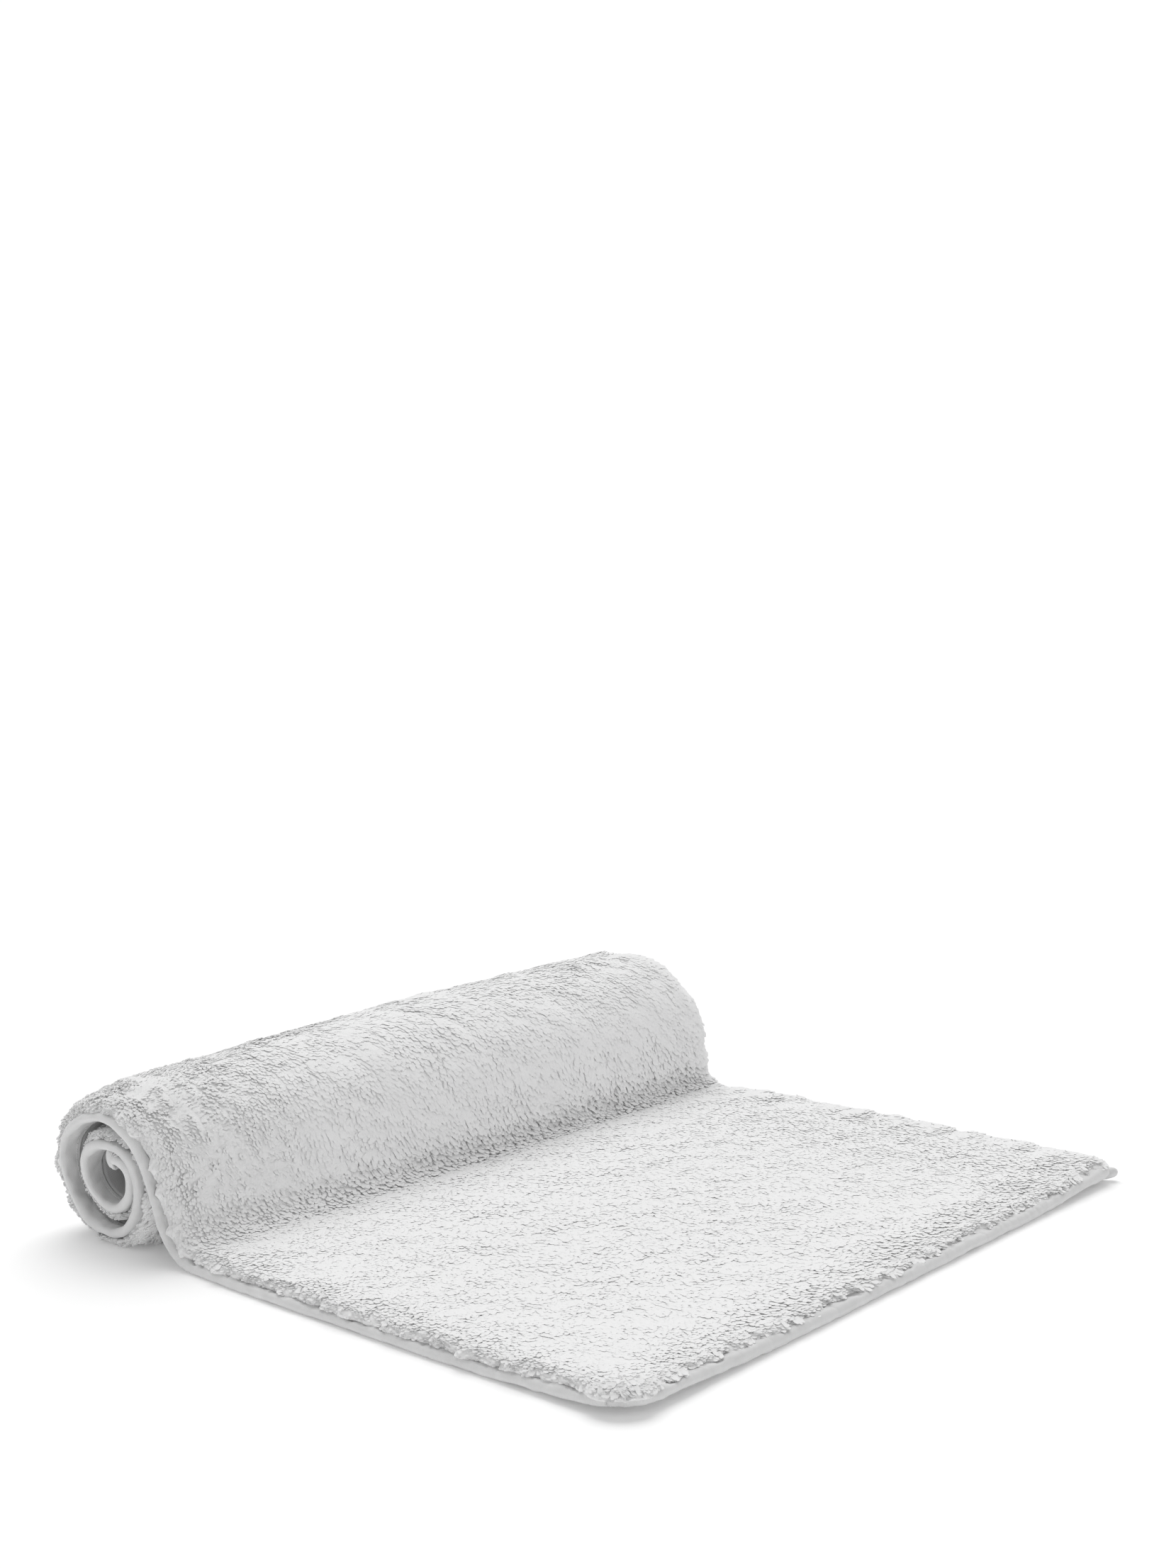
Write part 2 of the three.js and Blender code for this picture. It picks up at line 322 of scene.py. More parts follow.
def slab(name, runs, across, low, high, spread=None, **piece):
    """A closed sheet between two heights over a grid of runs and places across."""
    run, side = np.meshgrid(runs, across, indexing="ij")
    heights = high(run, side), low(run, side)
    if spread:
        run, side = spread(run, side)
    top, bottom = (place(run, side, height).reshape(-1, 3) for height in heights)
    rows, columns = run.shape
    above = grid_faces(rows, columns)
    index = np.arange(rows * columns).reshape(rows, columns)
    rim = np.concatenate([index[:-1, 0], index[-1, :-1], index[:0:-1, -1], index[0, :0:-1]])
    after = np.roll(rim, -1)
    below = rows * columns
    sides = np.stack([rim, after, after + below, rim + below], -1)
    faces = np.concatenate([above, above[:, ::-1] + below, sides])
    runs_used, across_used = (np.tile(values.ravel(), 2) for values in (run, side))
    return make_mesh(name, np.concatenate([top, bottom]), faces,
                     along=runs_used * MM, across=across_used * MM, **piece)


# ---- Finishes ----

class Tone:
    """One output of a node. Sums, differences and products of these add Math nodes."""

    def __init__(self, finish, socket):
        self.finish, self.socket = finish, socket

    def joined(self, operation, first, second):
        return self.finish.node("Math", {"operation": operation}, {0: first, 1: second})

    def __add__(self, other):
        return self.joined("ADD", self, other)

    def __rsub__(self, other):
        return self.joined("SUBTRACT", other, self)

    def __mul__(self, other):
        return self.joined("MULTIPLY", self, other)

    __radd__, __rmul__ = __add__, __mul__


class Nodes:
    """A tree of nodes, and the one way to add to it."""

    def __init__(self, tree):
        self.tree = tree

    def node(self, kind, settings=None, inputs=None, output=0):
        """Adds a node: its settings first, then the values or links of its sockets."""
        node = self.tree.nodes.new("ShaderNode" + kind)
        for name, value in (settings or {}).items():
            setattr(node, name, value)
        for name, value in (inputs or {}).items():
            self.feed(node.inputs[name], value)
        return Tone(self, node.outputs[output])

    def feed(self, socket, value):
        if isinstance(value, Tone):
            self.tree.links.new(value.socket, socket)
        else:
            socket.default_value = value


class Finish(Nodes):
    """One material: its Principled shader and the nodes that feed it."""

    def __init__(self, name, **constants):
        self.material = bpy.data.materials.new(name)
        self.material.use_nodes = True
        super().__init__(self.material.node_tree)
        self.shader = self.tree.nodes["Principled BSDF"]
        for socket, value in constants.items():
            self.feed(self.shader.inputs[socket.replace("_", " ")], value)

    def attribute(self, name):
        return self.node("Attribute", {"attribute_name": name}, output="Fac")

    def noise(self, size, detail=2.0):
        """Noise whose bumps are about this many millimetres across."""
        place = self.node("TexCoord", output="Object")
        return self.node("TexNoise", None, {"Vector": place, "Scale": 1 / (size * MM), "Detail": detail})

    def between(self, share, low, high):
        """A colour that goes from low to high as share goes from 0 to 1."""
        return self.node("Mix", {"data_type": "RGBA"}, {0: share, 6: low, 7: high}, output=2)

    def bump(self, height, depth, strength=1.0):
        """Relief where height, from 0 to 1, stands up to depth millimetres."""
        relief = {"Height": height, "Distance": depth * MM, "Strength": strength}
        self.feed(self.shader.inputs["Normal"], self.node("Bump", None, relief))

    def colour(self, value):
        self.feed(self.shader.inputs["Base Color"], value)

    def roughness(self, value):
        self.feed(self.shader.inputs["Roughness"], value)


def white(grey):
    """A near-white, neutral cotton colour."""
    return (grey, grey, grey, 1.0)


COTTON = {"Specular_IOR_Level": 0.25, "Sheen_Weight": 0.35, "Sheen_Roughness": 0.5}


def yarn_finish():
    """Soft twisted cotton yarn: darker towards its root with painted shade from the pile around it, with
    the ridges of its twist.
    """
    finish = Finish("cotton_pile_yarn", **COTTON)
    tip, tone = finish.attribute("tip"), finish.attribute("tone")
    lit = finish.between(tone, white(0.87), white(0.9))
    # Painted shade: each yarn darkens from its tip down to its root, deep in the pile.
    finish.colour(finish.between(tip, white(0.86), lit))
    finish.roughness(0.96 - tip * 0.1)
    twist = finish.node("Math", {"operation": "SINE"}, {0: tip * (math.tau * 5)})
    finish.bump(twist * 0.5 + 0.5, 0.1, strength=0.3)
    return finish.material


def pile_finish():
    """The depth of the pile between the yarn ends."""
    finish = Finish("cotton_pile_depth", **COTTON)
    clumps = finish.noise(6.0, detail=4.0)
    finish.colour(finish.between(clumps, white(0.85), white(0.9)))
    finish.roughness(0.9 + clumps * 0.1)
    finish.bump(finish.noise(1.8, detail=3.0), 0.4)
    return finish.material


def woven_finish(name, pitch, shade, relief):
    """Plain weave: threads along and across the mat, each over and under the next, with painted shade in
    its hollows and in soft patches over its puckers.
    """
    finish = Finish(name, **COTTON)
    turns = math.tau / (2 * pitch * MM)
    along, across = (
        finish.node("Math", {"operation": "SINE"}, {0: finish.attribute(way) * turns})
        for way in ("along", "across")
    )
    crossing = along * across * 0.5 + 0.5
    slubs = finish.noise(2.5, detail=3.0)
    pucker_shade = finish.noise(13.0, detail=3.0)
    # Painted shade: soft light and dark patches of colour stand in for the shading of the cloth's puckers
    # and wrinkles.
    lit = finish.between(pucker_shade, white(shade - 0.22), white(shade + 0.14))
    # Painted shade: the colour is darker where the weave and its slubs sink, in their hollows.
    finish.colour(finish.between(crossing * 0.35 + slubs * 0.4, white(shade - 0.16), lit))
    finish.roughness(0.78 + slubs * 0.2)
    finish.bump(crossing * 0.7 + slubs * 0.6, relief)
    return finish.material


def thread_finish():
    """Twisted sewing cotton, a little brighter and smoother than the tape, with painted shade in the
    grooves of its twist.
    """
    finish = Finish("sewing_cotton", **{**COTTON, "Specular_IOR_Level": 0.4})
    twist = finish.node("Math", {"operation": "SINE"}, {0: finish.attribute("along") * (math.tau / 0.0009)})
    ply = twist * 0.5 + 0.5
    # Painted shade: the thread is darker in the grooves between the plies of its twist.
    finish.colour(finish.between(ply, white(0.8), white(0.92)))
    finish.roughness(0.55 + ply * 0.2)
    finish.bump(ply, 0.12)
    return finish.material


YARN = yarn_finish()
PILE_DEPTH = pile_finish()
CANVAS = woven_finish("canvas_plain_weave", 1.3, 0.78, 0.35)
BACK = woven_finish("back_cloth_weave", 0.9, 0.68, 0.18)
TAPE = woven_finish("binding_tape_weave", 0.6, 0.83, 0.12)
THREAD = thread_finish()


# ---- The pile ----

SETTLED = Drift(11, 46, 60)
DIMPLES = Drift(12, 15, 18)
CLUMPS = Drift(13, 6)
LEAN_ALONG, LEAN_ACROSS = Drift(14, 22, 26), Drift(15, 22, 26)
TUFTED = Drift(16, 30, 38)
LOCK_SIZE = 7.5
# How deep its uneven places are, at most.
SETTLED_DEPTH = 0.5
DIMPLE_DEPTH = 0.4
FAR_EDGE_DIMPLES = 1.7
CLUMP_DEPTH = 0.25
STANDING_CLUMPS = 0.9
# It slopes down to the free end's tape by this share of its height.
END_SLOPE = 0.14
END_SLOPE_LENGTH = 34
# It droops over the tape round the near free corner, fully so within the smaller distance.
DROOP_FULL, DROOP_REACH = 14, 50
DROOP_DEPTH = 3.8
DROOPING_BED_DEPTH = 2.0
# How far yarns lean from upright, in degrees: lying, and what standing, drooping and the rim change.
LYING_LEAN = 84
STANDING_LEAN = 46
DROOPING_LEAN = 18
RIM_LEAN = 26
# A yarn's width and thickness as shares of its radius: lying, and what standing changes.
LYING_WIDTH, STANDING_NARROWER = 1.4, 0.35
LYING_THICKNESS, STANDING_THICKER = 0.24, 0.7
# How far a yarn's normals are turned to the pile's own, and how much less so where it stands.
SOFTNESS, STANDING_HARDER = 0.86, 0.02
# How fast the pile's own surface may slope.
STEEPEST_SLOPE = 0.6
FIELD_START, FIELD_STOP = END_TAPE_WIDTH + CLEARANCE, LENGTH - END_TAPE_WIDTH - CLEARANCE


def from_field_edge(run, across):
    """How far in a place lies from the nearest edge of the pile field."""
    ends = np.minimum(run - FIELD_START, FIELD_STOP - run)
    return np.minimum(ends, FIELD_EDGE - np.abs(across))


def over_tape(run, across):
    """How far over the binding tape a place lies, from 0 at the field's edge to 1 at the mat's."""
    over_side = (np.abs(across) - FIELD_EDGE) / (HALF_WIDTH - FIELD_EDGE)
    over_end = 1 - run / FIELD_START
    return np.clip(np.maximum(over_side, over_end), 0, 1)


def droop(run, across):
    """How far the pile droops over the near free corner of the mat, up to 1."""
    return smooth(DROOP_REACH, DROOP_FULL, np.hypot(run, HALF_WIDTH + across))


def spill(run, across):
    """Where a place of the spread pile lies, as the pile spills unevenly over the tape."""
    reach = np.minimum(0.78 + 0.14 * TUFTED(run, across) + 0.2 * CLUMPS(run, across), 1.02)
    drooping = droop(run, across)
    reach = reach + (1.2 - reach) * drooping
    past_side = np.maximum(np.abs(across) - FIELD_EDGE, 0) * (1 - reach)
    past_end = np.maximum(FIELD_START - run, 0) * (1 - reach + 0.05 * (1 - drooping))
    return run + past_end, across - np.sign(across) * past_side


def pressed(run):
    """1 where the pile stands free, towards 0 where the floor or a turn presses it."""
    free = PILE_BOTTOM + FLAT_PILE_HEIGHT
    return np.clip((np.interp(run, RUN, PILE_TOP) - PILE_BOTTOM) / (free - PILE_BOTTOM), 0, 1)


def on_roll(run):
    """0 on the flat part and 1 on the roll."""
    return smooth(LIFT_START - 25, LIFT_END + 20, run)


def near_ridge(run):
    """1 along the top of the roll, falling away in front of it and behind."""
    return smooth(80, 15, np.abs(run - CLIMB_END))


def fullness(run, across):
    """How high the pile stands beside its usual height. On the roll it is flattened at the near
    edge, fuller inside and fullest at the far end, just in front of the top."""
    near, far = HALF_WIDTH + across, HALF_WIDTH - across
    shoulder = smooth(90, 10, far) * smooth(50, 12, np.abs(run - CLIMB_END + 38))
    return 1 + on_roll(run) * (0.13 * smooth(20, 70, near) - 0.24 * smooth(45, 0, near) + 0.2 * shoulder)


def held(run, across):
    """1 near the near edge of the turns inside and under the roll, where the pile sticks out."""
    inside = (np.interp(run, RUN, HEADING) > math.tau) | (pressed(run) < 0.99)
    return on_roll(run) * inside * smooth(45, 12, HALF_WIDTH + across)


def tip_height(run, across):
    """Where the yarn ends come to: dimpled where free, and rounded off over the tape."""
    tufts = CLUMP_DEPTH + STANDING_CLUMPS * standing(run, across) + STANDING_CLUMPS * held(run, across)
    wavy = DIMPLE_DEPTH + FAR_EDGE_DIMPLES * smooth(HALF_WIDTH - 45, HALF_WIDTH - 12, across)
    swell = SETTLED_DEPTH * SETTLED(run, across) + wavy * DIMPLES(run, across) + tufts * CLUMPS(run, across)
    swell = swell * (1 + 0.3 * on_roll(run) + 0.1 * near_ridge(run)) - 0.3 * on_roll(run)
    height = np.interp(run, RUN, PILE_TOP) + swell * pressed(run) - 0.5
    edge = 0.9 + 0.1 * smooth(-6, 12, from_field_edge(run, across))
    edge = edge * (1 + (fullness(run, across) - 1) * (pressed(run) > 0.99))
    edge = edge - END_SLOPE * smooth(END_SLOPE_LENGTH, -4, run - FIELD_START)
    height = PILE_BOTTOM + (height - PILE_BOTTOM) * edge
    over = over_tape(run, across)
    lip = TAPE_TOP - DROOP_DEPTH * droop(run, across) * over ** 2 + 1.5 * held(run, across)
    lip = np.minimum(lip, height - 0.3)
    return np.where(over > 0, lip + (height - lip) * np.sqrt(1 - 0.96 * over ** 2.4), height)


def standing(run, across):
    """How upright the yarns stand, up to 1: most at the near end of the roll and where held."""
    near_end = smooth(165, 60, HALF_WIDTH + across)
    patches = 0.03 * near_ridge(run) + 0.06 * TUFTED(run, across)
    roll = on_roll(run) * (0.08 + 0.5 * near_end + patches)
    edge = 0.04 * smooth(30, 4, from_field_edge(run, across))
    free = (roll + edge + 0.04 * TUFTED(run, across)) * pressed(run)
    return np.clip(free + 0.7 * held(run, across), 0, 1)


def lean_angle(run, across):
    """How far the yarns lean from upright."""
    return np.radians(LYING_LEAN - STANDING_LEAN * standing(run, across))


def bed_height(run, across):
    """The depth of the pile, below the yarn ends that show."""
    share = 0.19 + 0.15 * standing(run, across) + 0.3 * held(run, across)
    showing = share * YARN_LENGTH * np.cos(lean_angle(run, across))
    showing = np.maximum(showing, 0.24) + 2.0 * held(run, across)
    return np.maximum(tip_height(run, across) - showing, PILE_BOTTOM + 0.5)


def bed_bottom(run, across):
    """Where the pile starts: on the ground cloth, or on the tape that it spills over."""
    on_tape = np.minimum(TAPE_TOP - DROOPING_BED_DEPTH * droop(run, across), bed_height(run, across) - 0.2)
    return np.where(over_tape(run, across) > 0.02, on_tape, PILE_BOTTOM)


def make_pile_bed():
    edge_steps = (HALF_WIDTH - FIELD_EDGE) * np.sin(np.linspace(0, math.pi / 2, 9))[1:]
    runs = np.concatenate([FIELD_START * (1 - edge_steps / edge_steps[-1])[::-1],
                           np.arange(FIELD_START, FIELD_STOP, 3.0), [FIELD_STOP]])
    inner = np.linspace(-FIELD_EDGE, FIELD_EDGE, 190)
    across = np.concatenate([-FIELD_EDGE - edge_steps[::-1], inner, FIELD_EDGE + edge_steps])
    bed = slab("pile_depth", runs, across, bed_bottom, bed_height, spread=spill,
               slot="pile", material=PILE_DEPTH, nodes=["pile"])


def yarn_grid(rng, low, high, spacing):
    """A jittered grid over the pile between two places across, even where the yarn ends lie."""
    turned = np.diff(RUN) + PILE_TOP[1:] * np.diff(HEADING)
    spread = np.concatenate([[0], np.cumsum(np.maximum(turned, 0.4 * np.diff(RUN)))])
    rows, columns = int(spread[-1] / spacing), int((high - low) / spacing)
    i, j = np.meshgrid(np.arange(rows) + 0.5, np.arange(columns) + 0.5, indexing="ij")
    shift_i, shift_j = rng.uniform(-0.46, 0.46, (2, rows, columns))
    run = np.interp((i + shift_i) * spacing, spread, RUN).ravel()
    across = (low + (j + shift_j + 0.25 * (-1) ** np.floor(i)) * spacing).ravel()
    return run, across


def yarn_places(rng):
    """Where the yarns are: closer near the near edge and over the tape. The turns inside the
    roll, which only their edges show, have yarns near their edges only."""
    near = yarn_grid(rng, -HALF_WIDTH, NEAR_YARNS_TO, NEAR_YARN_SPACING)
    rest = yarn_grid(rng, NEAR_YARNS_TO, HALF_WIDTH, YARN_SPACING)
    run, across = (np.concatenate(pair) for pair in zip(near, rest))
    for _ in range(2):
        spilled = rng.random(len(run)) < np.clip(1.2 * over_tape(run, across) - 0.1, 0, 0.9)
        again = rng.uniform(-1, 1, (2, spilled.sum())) * YARN_SPACING
        run = np.concatenate([run, run[spilled] + again[0]])
        across = np.concatenate([across, across[spilled] + again[1]])
    hidden_from = np.interp(math.tau + 0.9, HEADING[RUN > LIFT_END], RUN[RUN > LIFT_END])
    kept = (run > 0) & (run < FIELD_STOP - 0.4) & (np.abs(across) < HALF_WIDTH)
    kept &= (run < hidden_from) | (FIELD_EDGE - np.abs(across) < INNER_YARN_DEPTH)
    order = np.argsort(run[kept], kind="stable")
    return run[kept][order], across[kept][order]


def fine(across):
    """1 where the yarns are the finer ones of the near edge, and 0 beyond them."""
    return smooth(NEAR_YARNS_TO + 15, NEAR_YARNS_TO - 15, across)


def locks(run, across, rng):
    """The lock that each yarn lies in: a lean along and across that its yarns share, and the way
    along and across from the yarn to the lock's middle."""
    cells = (2, REPEAT_ALONG, REPEAT_ACROSS)
    middles = rng.uniform(-0.38, 0.38, cells)
    leans = rng.normal(0, 1, cells)
    row, column = np.floor(run / LOCK_SIZE), np.floor(across / LOCK_SIZE)
    nearest = np.full(len(run), np.inf)
    lean, inwards = np.zeros((2, len(run))), np.zeros((2, len(run)))
    for i in (-1, 0, 1):
        for j in (-1, 0, 1):
            cell = (row + i).astype(int) % REPEAT_ALONG, (column + j).astype(int) % REPEAT_ACROSS
            away_along = (row + i + 0.5 + middles[0][cell]) * LOCK_SIZE - run
            away_across = (column + j + 0.5 + middles[1][cell]) * LOCK_SIZE - across
            distance = np.hypot(away_along, away_across)
            nearer = distance < nearest
            nearest = np.minimum(distance, nearest)
            lean = np.where(nearer, np.stack([leans[0][cell], leans[1][cell]]), lean)
            inwards = np.where(nearer, np.stack([away_along, away_across]), inwards)
    return lean, inwards


def yarn_lean(run, across, rng):
    """Each yarn's lean along and across the mat: drifting, alike in a lock and outwards at the
    edges. Yarns that stand lean to the middle of their lock."""
    count = len(run)
    edge = from_field_edge(run, across)
    outward = 2.4 * smooth(22, -6, edge)
    nearer_end = run - FIELD_START < FIELD_EDGE - np.abs(across)
    lies = 1 - on_roll(run)
    drift, loose = 0.9 - 0.3 * lies, 0.14 + 0.06 * lies
    shared, inwards = locks(run, across, rng)
    alike = 0.2 + 0.4 * standing(run, across)
    shared = shared * alike + inwards * 0.15 * standing(run, across)
    along = drift * LEAN_ALONG(run, across) + shared[0] + rng.normal(0, 1, count) * loose
    along -= 1.5 * lies + 0.9 * near_ridge(run) + 0.8 * frame_at(run)[0][:, 2]
    across_lean = drift * LEAN_ACROSS(run, across) + shared[1] + rng.normal(0, 1, count) * loose
    across_lean -= 0.9 * lies
    along -= np.where(nearer_end, outward, 0)
    across_lean += np.where(nearer_end, 0, outward * np.sign(across))
    return along, across_lean


# Each ring of a yarn end: how far along it lies and its share of the full radius.
YARN_RINGS = ((0.0, 0.9), (0.4, 1.0), (0.78, 1.0), (0.96, 0.68))
YARN_CORNERS = math.tau * (np.arange(YARN_SIDES) / YARN_SIDES + 0.05)


def make_yarns():
    rng = np.random.default_rng(2024)
    run, across = yarn_places(rng)
    count = len(run)
    over = over_tape(run, across)
    upstanding = standing(run, across)
    angle = lean_angle(run, across) + rng.normal(0, math.radians(6), count) * (0.4 + upstanding)
    rim = smooth(0.7, 0.97, over)
    outward = np.radians(LYING_LEAN + DROOPING_LEAN * droop(run, across) + RIM_LEAN * rim)
    outward = outward + rng.normal(0, math.radians(10), count)
    angle = angle + (outward - angle) * np.sqrt(over)
    length = YARN_LENGTH * rng.uniform(0.75, 1.25, count) * (1 - 0.12 * fine(across))
    tall, reach = length * np.cos(angle), length * np.sin(angle)
    tip = tip_height(run, across)
    tip = tip - rng.uniform(0, 1, count) * rim * np.maximum(tip - TAPE_TOP - 0.6, 0)
    tip = tip + rng.normal(0, 1, count) * (0.05 + 0.4 * upstanding)
    root = np.maximum(tip - tall, PILE_BOTTOM + 0.2)
    radius = YARN_RADIUS * rng.uniform(0.75, 1.2, count) * (1 - 0.16 * fine(across))
    wide = radius * (LYING_WIDTH - STANDING_NARROWER * upstanding)
    thin = radius * (LYING_THICKNESS + STANDING_THICKER * upstanding)

    lean_along, lean_across = yarn_lean(run, across, rng)
    scale = np.hypot(lean_along, lean_across)
    lean_along, lean_across = lean_along / scale, lean_across / scale
    # Each yarn's tone: random, and a little lighter where its clump stands higher, painted light on the
    # clumps and painted shade between them.
    tone = np.clip(0.5 + 0.3 * CLUMPS(run, across) + rng.normal(0, 0.2, count), 0, 1)
    surface = pile_normal(run, across)
    run, across = spill(run, across)
    drawn_in = reach * smooth(0, 0.2, over) * rng.uniform(0.45, 1.0, count)
    run = np.clip(run - lean_along * drawn_in, 0.5, FIELD_STOP)
    across = across - lean_across * drawn_in
    ahead, upright = frame_at(run)
    lean = ahead * lean_along[:, None] + np.array([0.0, 1.0, 0.0]) * lean_across[:, None]
    side = np.cross(upright, lean)

    shown_run, shown_across = round_corners(run, across)
    start = np.stack([np.interp(shown_run, RUN, LINE_X), shown_across,
                      np.interp(shown_run, RUN, LINE_Z)], -1) + upright * root[:, None]
    rings, tips, normals = [], [], []
    for share, girth in YARN_RINGS + ((1.0, 0.0),):
        rise, gone = tall * share * (1.3 - 0.3 * share), reach * share ** 1.3
        centre = start + upright * rise[:, None] + lean * gone[:, None]
        if not girth:
            tips.append(centre)
            break
        climb = tall * (1.3 - 0.6 * share)
        onward = upright * climb[:, None] + lean * (reach * 1.3 * share ** 0.3 + 0.01)[:, None]
        onward /= np.linalg.norm(onward, axis=1, keepdims=True)
        other = np.cross(onward, side)
        for turn in YARN_CORNERS:
            rings.append(centre + side * (wide * girth * math.cos(turn))[:, None]
                         + other * (thin * girth * math.sin(turn))[:, None])
            outside = side * (math.cos(turn) / wide)[:, None] + other * (math.sin(turn) / thin)[:, None]
            normals.append(outside / np.linalg.norm(outside, axis=1, keepdims=True))
    normals.append(onward)
    points, plain = np.stack(rings + tips, 1), np.stack(normals, 1)
    soft = soften(plain, surface, upstanding)
    points = settle(points, shown_run[:, None], shown_across[:, None])

    shares = [share for share, _ in YARN_RINGS for _ in range(YARN_SIDES)] + [1.0]
    quads = grid_faces(len(YARN_RINGS), YARN_SIDES, wrap=True)
    last = (len(YARN_RINGS) - 1) * YARN_SIDES
    k = np.arange(YARN_SIDES)
    crown = np.stack([last + k, last + (k + 1) % YARN_SIDES, np.full(YARN_SIDES, last + YARN_SIDES)], -1)
    triangles = np.concatenate([quads[:, [0, 1, 2]], quads[:, [0, 2, 3]], crown])
    above = np.sin(np.append(np.tile(YARN_CORNERS, len(YARN_RINGS)), math.pi / 2)) > 0
    lit = np.repeat(above[triangles].all(1), 3)[None, :, None]
    for number, first in enumerate(range(0, count, YARNS_PER_PIECE), 1):
        chosen = slice(first, first + YARNS_PER_PIECE)
        yarns = points[chosen]
        per_yarn = yarns.shape[1]
        offsets = np.arange(len(yarns))[:, None, None] * per_yarn
        faces = (triangles[None] + offsets).reshape(-1, 3)
        tips_of, tones_of = np.tile(shares, len(yarns)), np.repeat(tone[chosen], per_yarn)
        piece = make_mesh(f"pile_yarns_{number:02d}", yarns.reshape(-1, 3), faces, "pile", YARN,
                          tip=tips_of, tone=tones_of)
        corners = triangles.ravel()
        shading = np.where(lit, soft[chosen][:, corners], plain[chosen][:, corners])
        piece.data.normals_split_custom_set(shading.reshape(-1, 3))
        add_yarn_map(piece.data, tips_of, tones_of)


def pile_normal(run, across, step=5.0):
    """Which way the pile as a whole faces, from how its height changes along and across."""
    change_along = tip_height(run + step, across) - tip_height(run - step, across)
    change_across = tip_height(run, across + step) - tip_height(run, across - step)
    slope_along, slope_across = (np.clip(change / (2 * step), -STEEPEST_SLOPE, STEEPEST_SLOPE)[:, None]
                                 for change in (change_along, change_across))
    ahead, upright = frame_at(run)
    normal = upright - ahead * slope_along - np.array([0.0, 1.0, 0.0]) * slope_across
    return normal / np.linalg.norm(normal, axis=1, keepdims=True)


def soften(outside, surface, upstanding):
    """A yarn's normals, turned towards the pile's own: light passes through the loose fibres,
    so a yarn that lies among others shades much like the pile as a whole."""
    share = (SOFTNESS - STANDING_HARDER * upstanding)[:, None, None]
    turned = outside * (1 - share) + surface[:, None] * share
    return turned / np.linalg.norm(turned, axis=-1, keepdims=True)


def add_yarn_map(mesh, tip, tone):
    """A map that puts every yarn end on one strip: its length one way and its tone the other."""
    corners = np.empty(len(mesh.loops), np.int32)
    mesh.loops.foreach_get("vertex_index", corners)
    around = (np.arange(len(tip)) % YARN_SIDES) / YARN_SIDES * 0.04
    places = np.stack([0.02 + 0.96 * tip, 0.02 + 0.92 * tone + around], -1)
    layer = mesh.uv_layers.new(name="OFBake")
    layer.uv.foreach_set("vector", places[corners].astype(np.float32).ravel())


# ---- The cloth under the pile ----

def make_back_cloth():
    """The back cloth. It lies flat on the floor and wrinkles softly inside the roll."""
    wrinkles = Drift(21, 16, 42)
    runs = np.arange(FIELD_START, FIELD_STOP, 3.0)
    across = np.linspace(-FIELD_EDGE, FIELD_EDGE, 170)

    def low(run, side):
        return (0.5 + 0.5 * wrinkles(run, side)) * 0.7 * smooth(LIFT_START, LIFT_END, run)

    def high(run, side):
        return low(run, side) + BACKING_THICKNESS - 0.2

    return slab("back_cloth", runs, across, low, high, slot="backing", material=BACK, nodes=["backing"])


def make_canvas():
    """The ground cloth, thinner where the binding tape grips it."""
    runs = np.concatenate([np.arange(3, LENGTH - 3, 4.0), [LENGTH - 3]])
    across = np.linspace(-HALF_WIDTH + 3, HALF_WIDTH - 3, 140)

    def squeeze(run, side):
        return 0.5 * smooth(3, -2, from_field_edge(run, side))

    return slab("ground_canvas", runs, across, lambda run, side: GROUND_BOTTOM + 0.3 + squeeze(run, side),
                lambda run, side: GROUND_TOP - squeeze(run, side), slot="ground_cloth", material=CANVAS,
                nodes=["ground_cloth"])


# ---- The bound edges ----

STITCH = 4.2
NOSE_RADIUS = 2.45
PLUMP = Drift(31, 8, 8)
SLACK = Drift(32, 27, 20)
CREASES = Drift(33, 9, 15)
THREAD_RADIUS = 0.42
THREAD_SIDES = 6
STEPS_PER_STITCH = 8
# How much taller the free end's tape is past its near corner, and as much again at its far one.
PLUMP_END = 0.12
PLUMP_FAR_END = 0.16
# How much the folded corners of the rolled end's tape are swollen.
FOLD_SWELL = 0.9
# The folded tape end at the far free corner.
TAIL_STEPS, TAIL_SIDES = 22, 24
TAIL_LENGTH = 19
TAIL_CLOTH_LENGTH = 20
TAIL_CLOTH_RADIUS = 4
TAIL_PAST_CORNER = 8
TAIL_HALF_WIDTH = 5.2
TAIL_HALF_HEIGHT = 4.3
TAIL_LEVEL = 4.6
TAIL_RISE = 2.4
TAIL_SLANT = 0.72
TAIL_SPREAD = 0.7


def tape_outline(width):
    """The inside of the folded tape in section, from its inner margin on the back, round the
    edge and to its inner margin on the face: margins from the edge and heights."""
    seam, middle = width - SEAM_MARGIN, (width - SEAM_MARGIN + NOSE_RADIUS) / 2
    back = [(width, 1.4), (width - 1.2, 1.2), (seam, 1.6), (seam - 1.5, 1.2)]
    back += [(middle + 1.2, 1.1), (middle - 0.8, 1.1)]
    turn = np.radians(np.linspace(-95, -265, 8))
    nose = [(NOSE_RADIUS * (1 + math.cos(a)), 1.1 + NOSE_RADIUS * (1 + math.sin(a))) for a in turn]
    face = [(middle - 0.8, 6.0), (middle + 1.2, 5.9), (seam - 1.5, 5.5)]
    face += [(seam, 4.9), (width - 1.2, 5.35), (width, 5.1)]
    return np.array(back + nose + face)


